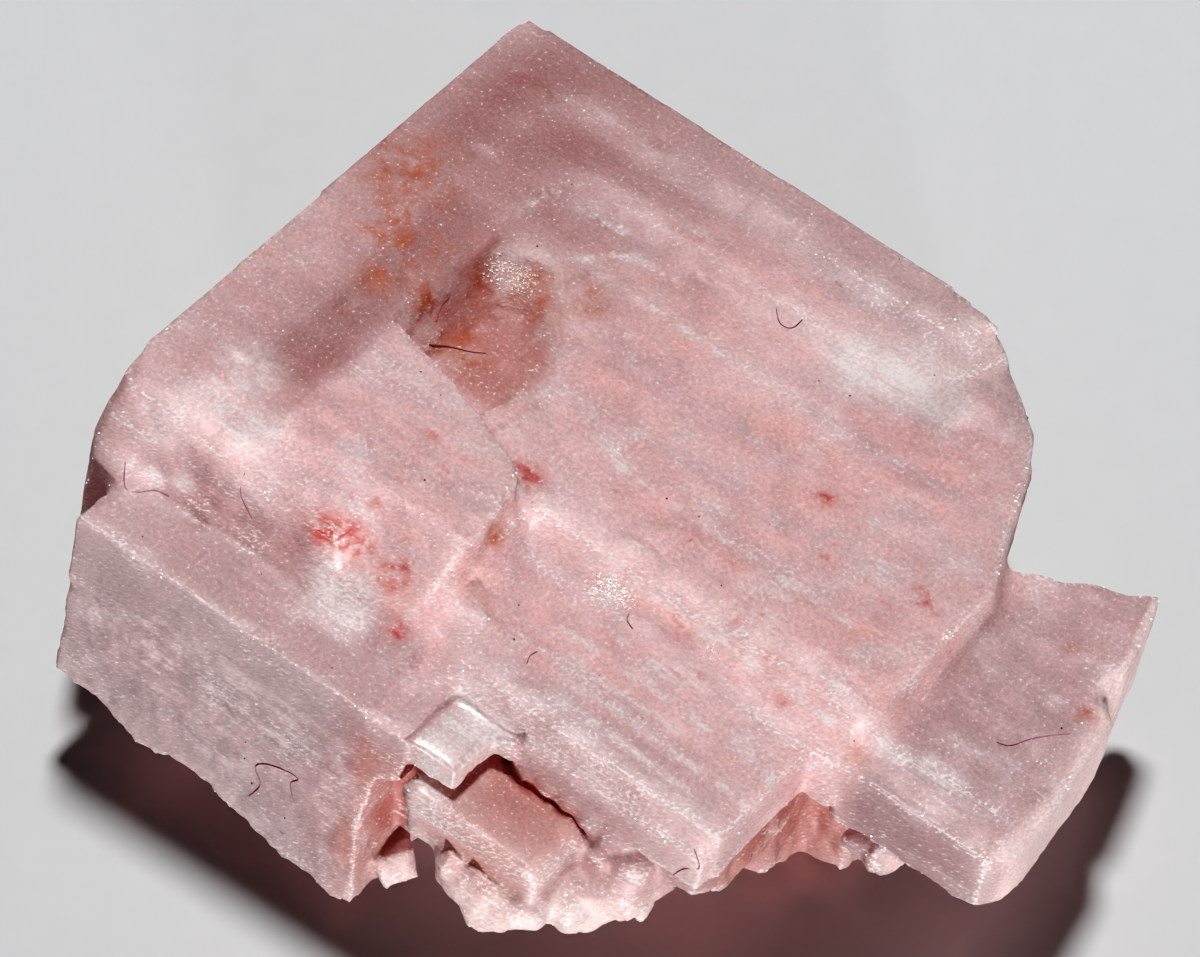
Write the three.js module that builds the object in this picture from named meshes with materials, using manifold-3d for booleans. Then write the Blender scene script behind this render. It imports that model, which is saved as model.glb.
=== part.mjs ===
// A loose cluster of pink halite (rock salt): one large cube with a sunken, terraced top, and smaller
// cubes grown through its front and its right-hand side. It grew as one piece, so it is one solid.
// Millimetres, +Z up. The lattice frame has its origin at the large cube's far top corner, with X and Y
// along the cube's edges. The finished solid is turned out of that frame to stand on its broken base.
import * as THREE from "three";
import { mergeVertices } from "three/addons/utils/BufferGeometryUtils.js";
import Module from "manifold-3d";

const wasm = await Module();
wasm.setup();

// How the cluster lies: the heading of the cube's edges in degrees, and how far its top leans
const heading = -36.5;
const leanRight = 8.6;
const leanBack = 5;
const standHeight = 10.5; // the far top corner above the floor

// The large cube
const cubeWidth = 25.5;
const cubeDepth = 21.9;
const cubeBottom = -10;

// Levels of the top face, from the rim at zero down
const innerRimTop = -0.35;
const plateauTop = -0.8;
const innerPlateauTop = -1.05;
const pitTop = -1.5;
const pitFloor = -2.1;
const plateTop = -0.12;
const leftBlockTop = -3;
const aboveAll = 2;

// The stepped shelf at the front of the large cube
const shelfTop = -2.2;
const shelfBottom = -4.15;
const shelfBack = -16.2;
const shelfFront = -22.6;
const shelfLeft = 17.4;
const shelfRight = 24.4;
const shelfSteps = [-18.1, -19.3, -20.2, -21.4];
const shelfStepDrop = 0.11;

// The two blocks on the right-hand side
const rearBlockTop = -1.95;
const frontBlockTop = -2.15;

// The broken root, and the ring of salt crumbs round it
const rootTop = -8;
const rootBottom = -14.5;
const rootCrumbs = 15;

// An upright box between two values on each axis
function box([xLow, xHigh], [yLow, yHigh], [zLow, zHigh]) {
  const block = new THREE.BoxGeometry(xHigh - xLow, yHigh - yLow, zHigh - zLow);
  return block.translate((xLow + xHigh) / 2, (yLow + yHigh) / 2, (zLow + zHigh) / 2);
}

// An outline in X and Y, carried up from one level to another
function slab(outline, zLow, zHigh) {
  const shape = new THREE.Shape(outline.map(([x, y]) => new THREE.Vector2(x, y)));
  const plate = new THREE.ExtrudeGeometry(shape, { depth: zHigh - zLow, bevelEnabled: false });
  return plate.translate(0, 0, zLow);
}

// A profile in X and Z, carried back along Y
function ridgeAlongY(profile, yFront, yBack) {
  return slab(profile, -yBack, -yFront).rotateX(Math.PI / 2);
}

// A profile in Y and Z, carried along X
function ridgeAlongX(profile, xLow, xHigh) {
  return slab(profile, xLow, xHigh).rotateX(Math.PI / 2).rotateZ(Math.PI / 2);
}

// A small cube that grew at its own angle
function crumb([x, y, z], size, turn) {
  const cube = new THREE.BoxGeometry(size, size * 0.9, size * 0.85);
  return cube
    .rotateX(0.3 + turn)
    .rotateY(0.25 - 0.7 * turn)
    .rotateZ(1.3 * turn)
    .translate(x, y, z);
}

function solid(geometry) {
  const bare = geometry.clone();
  bare.deleteAttribute("normal");
  bare.deleteAttribute("uv");
  const merged = mergeVertices(bare, 1e-4);
  const vertProperties = new Float32Array(merged.attributes.position.array);
  const triVerts = new Uint32Array(merged.index.array);
  return new wasm.Manifold(new wasm.Mesh({ numProp: 3, vertProperties, triVerts }));
}

function surface(body) {
  const mesh = body.getMesh();
  const geometry = new THREE.BufferGeometry();
  geometry.setAttribute("position", new THREE.BufferAttribute(new Float32Array(mesh.vertProperties), 3));
  geometry.setIndex(new THREE.BufferAttribute(new Uint32Array(mesh.triVerts), 1));
  return geometry;
}

function add(body, geometries) {
  return geometries.map(solid).reduce((whole, piece) => whole.add(piece), body);
}

function cut(body, geometries) {
  return geometries.map(solid).reduce((rest, piece) => rest.subtract(piece), body);
}

// The large cube, its right-hand corner dissolved to a round and its left-hand corner blunted
function largeCube() {
  const round = [
    [25, -7.9],
    [24.5, -6.6],
    [23.9, -4.8],
    [23.05, -2.9],
    [21.9, -1.6],
    [20.8, -0.85],
    [19.4, -0.3],
    [17.5, 0],
  ];
  const leftCorner = [
    [0.9, 0],
    [0.25, -0.1],
    [0, -0.9],
    [0.25, -21.4],
    [0.75, -cubeDepth],
  ];
  const outline = [...leftCorner, [cubeWidth, -cubeDepth], [cubeWidth, -9], ...round];
  return solid(slab(outline, cubeBottom, 0));
}

// The sunken terraces of the top face, each stepping down inside the last
function hopperCuts() {
  const right = cubeWidth + 2;
  const front = -cubeDepth - 2;
  const openSide = [
    [right, 1],
    [right, front],
  ];
  const innerRim = [[3.2, front], [3.2, -2.6], [3.9, -1.9], [18.6, -1.8], [20.6, 1], ...openSide];
  const plateau = [[5, front], [5, -5.3], [5.9, -4.4], [15.6, -4.2], [19.4, -3.8], [21.2, 1], ...openSide];
  const innerPlateau = [
    [7.3, front],
    [7.3, -7.4],
    [8.3, -6.6],
    [10.2, -6.2],
    [10.9, -6.9],
    [18.3, -7],
    [20.1, -8.6],
    [20.1, front],
  ];
  return [
    slab(innerRim, innerRimTop, aboveAll),
    slab(plateau, plateauTop, aboveAll),
    slab(innerPlateau, innerPlateauTop, aboveAll),
  ];
}

// The deep hollow beside the raised plate
function pitCuts() {
  const upper = [[5.3, -8.4], [6.9, -7.9], [8.8, -9.2], [10.2, -12], [9.9, -14.9], [5.4, -13.9]];
  const lower = [[5.9, -9.3], [7.2, -8.9], [8.6, -10.2], [9.3, -12.2], [8.8, -14.2], [6, -13.3]];
  return [slab(upper, pitTop, aboveAll), slab(lower, pitFloor, aboveAll)];
}

// The front of the large cube steps down to the shelf, and is broken away underneath it
function frontCuts() {
  const front = shelfFront - 1;
  const wall = 23.9;
  const underside = [
    [front, shelfBottom],
    [-22, -5.4],
    [-20, -7.1],
    [-17, -8.9],
    [-14.5, -10.9],
    [-14.5, -12],
    [front, -12],
  ];
  return [
    box([12.7, cubeWidth + 1], [front, shelfBack], [shelfTop, aboveAll]),
    box([9.4, 14.5], [front, -20], [-4.5, aboveAll]),
    box([shelfRight, cubeWidth + 1], [front, shelfBack], [-12, aboveAll]),
    box([wall, cubeWidth + 1], [front, shelfBack + 1.4], [-12, shelfBottom]),
    ridgeAlongX(underside, 14.9, cubeWidth + 1),
  ];
}

// The shelf in thin steps that drop toward the front, and the spur at its right-hand end
function shelf() {
  const steps = [...shelfSteps, shelfFront].map((front, index) => {
    const left = shelfLeft - 2.6 + 0.65 * index;
    const top = shelfTop - shelfStepDrop * index;
    return box([left, shelfRight - 0.03 * index], [front, shelfBack + 1], [shelfBottom, top]);
  });
  const spurRight = cubeWidth - 0.05;
  const spur = box([shelfRight - 1, spurRight], [shelfBack - 0.95, shelfBack + 1], [shelfBottom, -2.05]);
  return [...steps, spur];
}

// The raised plate on the left of the top face, sloping down to the block in front of it
function raisedPlate() {
  const outline = [[5.2, -13.6], [8.4, -14.5], [11.9, -15.9], [12.3, -16.7], [12.6, -19.6], [5.1, -19.6]];
  const brow = [[-18.5, plateTop], [-19.6, plateTop], [-21.8, -0.85], [-21.8, -5], [-18.5, -5]];
  const slope = [[-18.5, plateTop], [-19.6, plateTop], [-20.7, -1], [-22.6, -3.1], [-22.6, -5], [-18.5, -5]];
  const tongue = [[-19.9, -1.5], [-20.3, -1.5], [-22, -2.3], [-23.4, -3.1], [-23.4, -5], [-19.9, -5]];
  return [
    slab(outline, leftBlockTop - 1, plateTop),
    ridgeAlongX(brow, 5.1, 9.2),
    ridgeAlongX(slope, 8.8, 12.6),
    ridgeAlongX(tongue, 11.8, 14.35),
  ];
}

// The lower block at the left front, with a ragged lower edge
function leftBlock() {
  const face = [
    [1.75, leftBlockTop],
    [1.65, -10.5],
    [3.4, -10.8],
    [5.3, -11.5],
    [6.6, -11],
    [8.1, -11.1],
    [10.2, -11.9],
    [13.1, -12.3],
    [13.9, -12],
    [13.6, -8.2],
    [13.9, -5.6],
    [14.8, -4.9],
    [14.8, leftBlockTop],
  ];
  return ridgeAlongY(face, -24.9, -16.5);
}

// Swellings below the blunted left-hand corner
function leftCorner() {
  const upper = [[0.05, -19.5], [0.1, -21.9], [0.6, -22.4], [2.6, -22.2], [3, -19.5]];
  const lower = [[-0.15, -19], [-0.1, -21.9], [0.5, -22.9], [2.2, -23], [2.9, -19]];
  return [slab(upper, -9, -1.1), slab(lower, -9, -2.1)];
}

// Small cubes in the front corner, between the left block and the shelf
function frontCubes() {
  return [
    box([14, 16.55], [-24.75, -20.8], [-3.95, -3.02]),
    box([15.4, 20.3], [-25.3, -16], [-6.5, -5.05]),
    box([13, 16], [-22.8, -16], [-10, -4.4]),
  ];
}

// The two blocks grown onto the right-hand side, the front one a little askew
function rightBlocks() {
  const rear = [
    [24, -7.4],
    [24.64, -6.97],
    [26.3, -6.2],
    [27.1, -5.35],
    [28.1, -5.1],
    [29.04, -4.2],
    [29.5, -5.7],
    [30.2, -8.6],
    [30.1, -15.4],
    [24, -15.4],
  ];
  const front = [
    [24.2, -9.4],
    [30.6, -8.85],
    [31.2, -13.5],
    [31.5, -15.9],
    [30.9, -17.05],
    [25.65, -17.05],
    [24.2, -15.8],
  ];
  const foot = [[24.4, -10], [30.7, -9.3], [31.2, -14.9], [29.4, -16], [26.4, -15.7]];
  return [
    slab(rear, -6.2, rearBlockTop),
    slab(front, -4.7, frontBlockTop),
    slab(foot, -5.8, -4.2),
  ];
}

// Thin growth plates on the faces at the back
function backPlates() {
  return [
    box([2.6, 14.8], [-2, 0.35], [-8.6, -2.6]),
    box([4.4, 10.3], [-2, 0.62], [-7.2, -3.7]),
    box([-0.32, 2], [-17.4, -5.2], [-8.2, -2.2]),
    box([-0.55, 2], [-12.6, -6.4], [-6.7, -3.4]),
    box([17.2, 22.4], [-4.2, -1.2], [-9.4, -4.6]),
  ];
}

// Salt crumbs along the broken lower edges at the front
function frontCrumbs() {
  return [
    crumb([17.9, -24.7, -6.4], 1.9, 0.2),
    crumb([19.3, -24.3, -6.7], 1.3, 0.9),
    crumb([20.5, -22.8, -7], 1.5, 0.5),
    crumb([22, -22, -6.5], 1.7, 1.2),
    crumb([14.3, -23.2, -11.2], 1.3, 0.7),
    crumb([26.6, -15.2, -6.4], 1.9, 1.1),
    crumb([28.3, -14.4, -6.2], 1.7, 0.4),
  ];
}

// The crumbly root under the cubes, where the cluster broke off its bed
function root() {
  const outline = [
    [3.6, -6.5],
    [6.4, -3],
    [13.5, -2.2],
    [19.8, -3.4],
    [22.6, -8],
    [21.6, -14.6],
    [17, -18],
    [8.2, -19],
    [4.4, -15.2],
  ];
  const loop = outline.map(([x, y]) => new THREE.Vector3(x, y, 0));
  const path = new THREE.CatmullRomCurve3(loop, true);
  const ring = [];
  for (let index = 0; index < rootCrumbs; index += 1) {
    const { x, y } = path.getPointAt(index / rootCrumbs);
    const swing = Math.sin(2.4 * index);
    ring.push(crumb([x, y, -10.3 + 0.5 * swing], 2.3 + 0.6 * swing, 0.9 * index));
  }
  return [slab(outline, rootBottom, rootTop), ...ring];
}

function cluster() {
  const cuts = [...hopperCuts(), ...pitCuts(), ...frontCuts()];
  return add(cut(largeCube(), cuts), [
    ...shelf(),
    ...raisedPlate(),
    leftBlock(),
    ...leftCorner(),
    ...frontCubes(),
    ...rightBlocks(),
    ...backPlates(),
    ...frontCrumbs(),
    ...root(),
  ]);
}

// Turns the cluster out of the lattice frame, cuts it flat at the floor and centres it over the origin
function standing() {
  const radians = Math.PI / 180;
  const turned = surface(cluster())
    .rotateZ(heading * radians)
    .rotateY(leanRight * radians)
    .rotateX(-leanBack * radians)
    .translate(0, 0, standHeight);
  const below = box([-60, 60], [-60, 60], [-30, 0]);
  const geometry = surface(cut(solid(turned), [below]));
  geometry.computeBoundingBox();
  const middle = geometry.boundingBox.getCenter(new THREE.Vector3());
  return geometry.translate(-middle.x, -middle.y, 0);
}

const group = new THREE.Group();
const salt = new THREE.MeshStandardMaterial({ color: 0xd9a49c, roughness: 0.35, metalness: 0 });
const crystal = new THREE.Mesh(standing().toNonIndexed(), salt);
crystal.geometry.computeVertexNormals();
crystal.name = "halite_crystal";
group.add(crystal);
export default group;
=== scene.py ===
import math

import bmesh
import bpy
from mathutils import Euler, Matrix, Vector
from mathutils.bvhtree import BVHTree


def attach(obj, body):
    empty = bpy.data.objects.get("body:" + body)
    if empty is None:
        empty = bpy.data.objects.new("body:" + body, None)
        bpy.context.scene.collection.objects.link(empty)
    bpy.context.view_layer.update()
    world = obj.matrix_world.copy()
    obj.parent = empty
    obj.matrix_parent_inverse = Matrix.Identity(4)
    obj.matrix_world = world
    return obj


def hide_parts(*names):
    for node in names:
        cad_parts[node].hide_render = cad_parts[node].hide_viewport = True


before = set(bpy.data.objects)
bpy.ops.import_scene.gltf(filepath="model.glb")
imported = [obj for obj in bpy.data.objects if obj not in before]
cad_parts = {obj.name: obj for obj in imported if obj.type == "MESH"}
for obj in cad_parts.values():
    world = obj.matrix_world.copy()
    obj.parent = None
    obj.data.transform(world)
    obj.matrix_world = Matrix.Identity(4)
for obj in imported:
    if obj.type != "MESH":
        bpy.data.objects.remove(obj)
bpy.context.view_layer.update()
scene = bpy.context.scene
print("stage: frame loaded")

# The crystal lattice: X and Y along the large cube's edges, in mm from its far top corner
lattice = {
    "cornerMm": (-2.7083, 16.5761, 10.5),  # that corner in the frame
    "turnDeg": (5.0, -8.6, 36.5),  # frame to lattice
}
turn = [math.radians(a) for a in lattice["turnDeg"]]
cornerM = Vector(lattice["cornerMm"]) / 1000
latticeFromFrame = Euler(turn, "XYZ").to_matrix().to_4x4() @ Matrix.Translation(-cornerM)
frameFromLattice = latticeFromFrame.inverted()


def onLattice(x, y, z):
    return frameFromLattice @ Vector((x / 1000, y / 1000, z / 1000))


# Node helpers, shared by the geometry and the material trees

def putNode(tree, kind, inputs=None, **settings):
    node = tree.nodes.new(kind)
    for key, value in settings.items():
        setattr(node, key, value)
    for key, value in (inputs or {}).items():
        feed(tree, node.inputs[key], value)
    return node


def feed(tree, socket, value):
    if isinstance(value, bpy.types.NodeSocket):
        tree.links.new(value, socket)
    else:
        socket.default_value = value


def calc(tree, operation, *values, clamp=False):
    node = putNode(tree, "ShaderNodeMath", operation=operation, use_clamp=clamp)
    for index, value in enumerate(values):
        feed(tree, node.inputs[index], value)
    return node.outputs[0]


def chained(tree, operation, values):
    result = values[0]
    for value in values[1:]:
        result = calc(tree, operation, result, value)
    return result


def product(tree, *values):
    return chained(tree, "MULTIPLY", values)


def largest(tree, *values):
    return chained(tree, "MAXIMUM", values)


def total(tree, *values):
    return chained(tree, "ADD", values)


def without(tree, value):
    return calc(tree, "SUBTRACT", 1.0, value)


def ramp(tree, value, low, high, outLow=0.0, outHigh=1.0, smooth=True):
    kind = "SMOOTHSTEP" if smooth else "LINEAR"
    node = putNode(tree, "ShaderNodeMapRange", interpolation_type=kind)
    for index, item in enumerate((value, low, high, outLow, outHigh)):
        feed(tree, node.inputs[index], item)
    return node.outputs[0]


def vectorCalc(tree, operation, a, b):
    return putNode(tree, "ShaderNodeVectorMath", {0: a, 1: b}, operation=operation).outputs[0]


def measured(tree, operation, a, b):
    return putNode(tree, "ShaderNodeVectorMath", {0: a, 1: b}, operation=operation).outputs["Value"]


def scaled(tree, value, amount):
    return putNode(tree, "ShaderNodeVectorMath", {0: value, "Scale": amount}, operation="SCALE").outputs[0]


def partsOf(tree, value):
    return putNode(tree, "ShaderNodeSeparateXYZ", {0: value}).outputs


def noiseNode(tree, point, scale, detail=2.0, rough=0.5):
    inputs = {"Vector": point, "Scale": scale, "Detail": detail, "Roughness": rough}
    return putNode(tree, "ShaderNodeTexNoise", inputs)


def noiseOf(tree, point, scale, detail=2.0, rough=0.5):
    return noiseNode(tree, point, scale, detail, rough).outputs[0]


def streaksOf(tree, point, stretch, detail, rough):
    return noiseOf(tree, vectorCalc(tree, "MULTIPLY", point, stretch), 1.0, detail, rough)


def cellsOf(tree, point, scale, distance="CHEBYCHEV"):
    return putNode(tree, "ShaderNodeTexVoronoi", {"Vector": point, "Scale": scale}, distance=distance)


def mixed(tree, factor, a, b, blend="MIX"):
    node = putNode(tree, "ShaderNodeMix", data_type="RGBA", blend_type=blend)
    feed(tree, node.inputs[0], factor)
    feed(tree, node.inputs[6], a)
    feed(tree, node.inputs[7], b)
    return node.outputs[2]


# A zone is a list of limits: axis, where it starts, where it is full, and its strength if below 1
def zoneMask(tree, axes, limits):
    masks = []
    for axis, start, full, *strength in limits:
        masks.append(ramp(tree, axes["xyz".index(axis)], start, full, 0.0, *strength))
    return product(tree, *masks)


# Spots are lattice places with a reach, all in mm
def spotMask(tree, point, spots, spread=1.25):
    masks = [0.0]
    for x, y, z, reach in spots:
        away = measured(tree, "DISTANCE", point, (x, y, z))
        masks.append(ramp(tree, away, reach * spread, reach * 0.2))
    return largest(tree, *masks)


def lineMask(tree, flat, lines, width):
    masks = [0.0]
    for start, end in lines:
        along = Vector((*end, 0)) - Vector((*start, 0))
        away = vectorCalc(tree, "SUBTRACT", flat, (*start, 0))
        share = measured(tree, "DOT_PRODUCT", away, along / along.length_squared)
        foot = scaled(tree, along, calc(tree, "ADD", share, 0.0, clamp=True))
        masks.append(ramp(tree, measured(tree, "DISTANCE", away, foot), width, width * 0.3))
    return largest(tree, *masks)


def softened(tree, place, passes, weight):
    node = putNode(tree, "GeometryNodeBlurAttribute", data_type="FLOAT_VECTOR")
    feed(tree, node.inputs["Value"], place)
    feed(tree, node.inputs["Iterations"], passes)
    feed(tree, node.inputs["Weight"], weight)
    return node.outputs[0]


def storedOn(tree, geometry, name, value, kind="FLOAT"):
    inputs = {"Geometry": geometry, "Name": name}
    node = putNode(tree, "GeometryNodeStoreNamedAttribute", inputs, data_type=kind)
    feed(tree, node.inputs["Value"], value)
    return node.outputs[0]


def attributeOf(tree, name):
    return putNode(tree, "GeometryNodeInputNamedAttribute", {"Name": name}).outputs[0]


def positionOf(tree):
    return tree.nodes.new("GeometryNodeInputPosition").outputs[0]


def normalOf(tree):
    return tree.nodes.new("GeometryNodeInputNormal").outputs[0]


def newGeometryTree(name, sockets):
    tree = bpy.data.node_groups.new(name, "GeometryNodeTree")
    tree.interface.new_socket("Geometry", in_out="INPUT", socket_type="NodeSocketGeometry")
    for title, kind in sockets:
        tree.interface.new_socket(title, in_out="INPUT", socket_type=kind)
    tree.interface.new_socket("Material", in_out="INPUT", socket_type="NodeSocketMaterial")
    tree.interface.new_socket("Geometry", in_out="OUTPUT", socket_type="NodeSocketGeometry")
    entry = tree.nodes.new("NodeGroupInput")
    leave = tree.nodes.new("NodeGroupOutput")
    return tree, entry, leave


def endTree(tree, geometry, entry, leave):
    whole = putNode(tree, "GeometryNodeRealizeInstances", {0: geometry})
    dressed = putNode(tree, "GeometryNodeSetMaterial", {0: whole.outputs[0], 2: entry.outputs["Material"]})
    tree.links.new(dressed.outputs[0], leave.inputs[0])
    return tree


def applyTree(obj, tree, values):
    modifier = obj.modifiers.new(tree.name, "NODES")
    modifier.node_group = tree
    inputs = [item for item in tree.interface.items_tree if item.in_out == "INPUT"]
    named = {item.name: item.identifier for item in inputs}
    for title, value in values.items():
        modifier[named[title]] = value
    return modifier


def bakeModifiers(obj, name):
    bpy.context.view_layer.update()
    depsgraph = bpy.context.evaluated_depsgraph_get()
    mesh = bpy.data.meshes.new_from_object(obj.evaluated_get(depsgraph), depsgraph=depsgraph)
    mesh.name = name
    obj.modifiers.clear()
    obj.data = mesh
    return obj


def linked(name, mesh):
    obj = bpy.data.objects.new(name, mesh)
    scene.collection.objects.link(obj)
    return obj


# The crystal: the frame's solid, its faces broken into growth steps and its edges worn

crystalLook = {
    "voxelMm": 0.125,
    "mergeMm": 0.002,
    "softenFactor": 0.5,
    "softenPasses": 1,
    "jogMm": 0.4,
    "terraceSoftness": 60,
    "riserSoftness": 60,
    "slopeSoftness": 45,
    "lumpSoftness": 14,
    "blockSoftness": 24,
    "wallSoftness": 30,
    "stepHeightMm": 0.022,
    "plateTilt": 0.006,
    "stepSizeMm": 2.3,
    "striationMm": 0.016,
    "waveMm": 0.02,
    "grainMm": 0.014,
    "pitMm": 0.06,
    "ragMm": 0.34,
    "cubeDropMm": 0.2,
    "cubeRiseMm": 0.8,
    "lumpMm": 0.45,
    "striationLevels": 14.0,
    "warpMm": 0.9,
    "smallPlates": 2.7,  # how many times smaller than the large ones
    "pitPick": 0.74,  # cells that draw more than this have a pit
    "pitsPerMm": 0.85,
    "knobsPerMm": 0.85,
    # noise patterns: waves a mm, detail and roughness
    "warpNoise": (0.5, 2.0, 0.5),
    "jogNoise": (0.75, 2.0, 0.5),
    "striationNoise": ((0.11, 2.3, 2.3), 4.0, 0.62),
    "waveNoise": (0.32, 3.0, 0.5),
    "grainNoise": (3.1, 3.0, 0.6),
    "grainPatchNoise": (0.22, 2.0, 0.5),
    "ragNoise": (0.9, 3.0, 0.55),
    "edgePasses": 7,
    "paintedGlowPasses": 90,
    "triangles": 195000,
    "flatBaseMm": 0.04,  # what lies lower than this is set on the floor
    # round lumps grown on at the front, lattice place and radius in mm
    "lumps": [
        (17.6, -25.2, -6.6, 0.8), (18.4, -25.5, -6.5, 0.75), (19.2, -25.4, -6.7, 0.85),
        (20.0, -25.1, -6.4, 0.7), (18.8, -25.6, -7.3, 0.6), (20.7, -23.7, -6.6, 1.0),
        (21.4, -22.9, -6.5, 0.95), (22.2, -22.7, -6.3, 0.75), (21.0, -23.3, -7.3, 0.8),
        (21.9, -22.3, -5.3, 0.7), (20.5, -22.0, -5.9, 0.9), (20.9, -22.4, -5.6, 0.8),
        (16.9, -22.2, -3.5, 0.7), (12.8, -18.9, -2.2, 0.7), (12.75, -18.2, -2.3, 0.7),
        (12.95, -19.3, -2.15, 0.6), (17.8, -21.9, -4.3, 0.9), (18.6, -21.9, -4.2, 0.95),
        (19.4, -21.9, -4.2, 0.95), (20.2, -21.9, -4.2, 0.95), (21.0, -21.9, -4.3, 0.9),
    ],
    # dents, lattice place, reach and depth in mm: a notch in the right block and hollows
    "dents": [
        (30.4, -8.7, -2.1, 0.9, 0.55), (30.5, -8.6, -3.1, 0.9, 0.2),
        (31.0, -6.6, -2.0, 0.9, 0.5), (20.6, -4.2, -0.8, 1.2, 0.25),
    ],
    # zones, in lattice mm
    "zones": {
        "lowSides": [("z", -3.4, -7.5)],
        "shelf": [("y", -9.5, -15.0)],
        "farTerrace": [("y", -6.0, -3.5, 0.45)],
        "lumpy": [("z", -5.2, -6.2), ("x", 14.6, 16.0)],
        "clearCube": [("x", 14.55, 14.8), ("x", 17.6, 17.2), ("y", -21.9, -22.3), ("z", -4.4, -3.6)],
        "salmonCube": [
            ("x", 13.2, 13.8), ("x", 20.6, 19.8), ("y", -21.4, -21.9), ("z", -4.3, -4.7), ("z", -5.9, -5.5),
        ],
        "inside": [("x", 0.4, 2.2), ("y", -0.4, -2.0), ("x", 25.0, 23.2), ("z", -3.2, -2.4)],
        "raisedPlate": [("x", 4.7, 5.1), ("x", 13.4, 12.9), ("y", -12.4, -12.9)],
        "riser": [("x", 12.4, 13.6), ("y", -13.6, -15.2), ("y", -18.8, -17.4), ("z", -3.4, -2.6)],
        "frontSlope": [("x", 12.6, 11.6), ("y", -20.1, -20.9), ("y", -23.7, -23.0), ("z", -4.4, -3.6)],
        "rightWall": [("x", 23.9, 24.6), ("x", 27.2, 26.4), ("y", -6.5, -8.0), ("z", -3.4, -2.6)],
        "rightBlock": [("x", 26.0, 27.5)],
    },
}

# the growth tree's inputs: title, kind of socket and the value's name in crystalLook
growthInputs = [
    ("Jog", "NodeSocketFloat", "jogMm"),
    ("Terrace Softness", "NodeSocketInt", "terraceSoftness"),
    ("Riser Softness", "NodeSocketInt", "riserSoftness"),
    ("Slope Softness", "NodeSocketInt", "slopeSoftness"),
    ("Lump Softness", "NodeSocketInt", "lumpSoftness"),
    ("Wall Softness", "NodeSocketInt", "wallSoftness"),
    ("Block Softness", "NodeSocketInt", "blockSoftness"),
    ("Step Height", "NodeSocketFloat", "stepHeightMm"),
    ("Step Size", "NodeSocketFloat", "stepSizeMm"),
    ("Plate Tilt", "NodeSocketFloat", "plateTilt"),
    ("Striation", "NodeSocketFloat", "striationMm"),
    ("Wave", "NodeSocketFloat", "waveMm"),
    ("Grain", "NodeSocketFloat", "grainMm"),
    ("Pit", "NodeSocketFloat", "pitMm"),
    ("Rag", "NodeSocketFloat", "ragMm"),
    ("Cube Drop", "NodeSocketFloat", "cubeDropMm"),
    ("Cube Rise", "NodeSocketFloat", "cubeRiseMm"),
    ("Lump", "NodeSocketFloat", "lumpMm"),
]


def plateTilt(tree, point, cells, slope):
    # each plate leans its own way by up to the given slope
    away = vectorCalc(tree, "SUBTRACT", point, cells.outputs["Position"])
    pick = vectorCalc(tree, "ADD", cells.outputs["Color"], (-0.5, -0.5, -0.5))
    return product(tree, measured(tree, "DOT_PRODUCT", away, pick), 2.0, slope)


def centredNoise(tree, point, pattern):
    return calc(tree, "SUBTRACT", noiseOf(tree, point, *pattern), 0.5)


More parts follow.
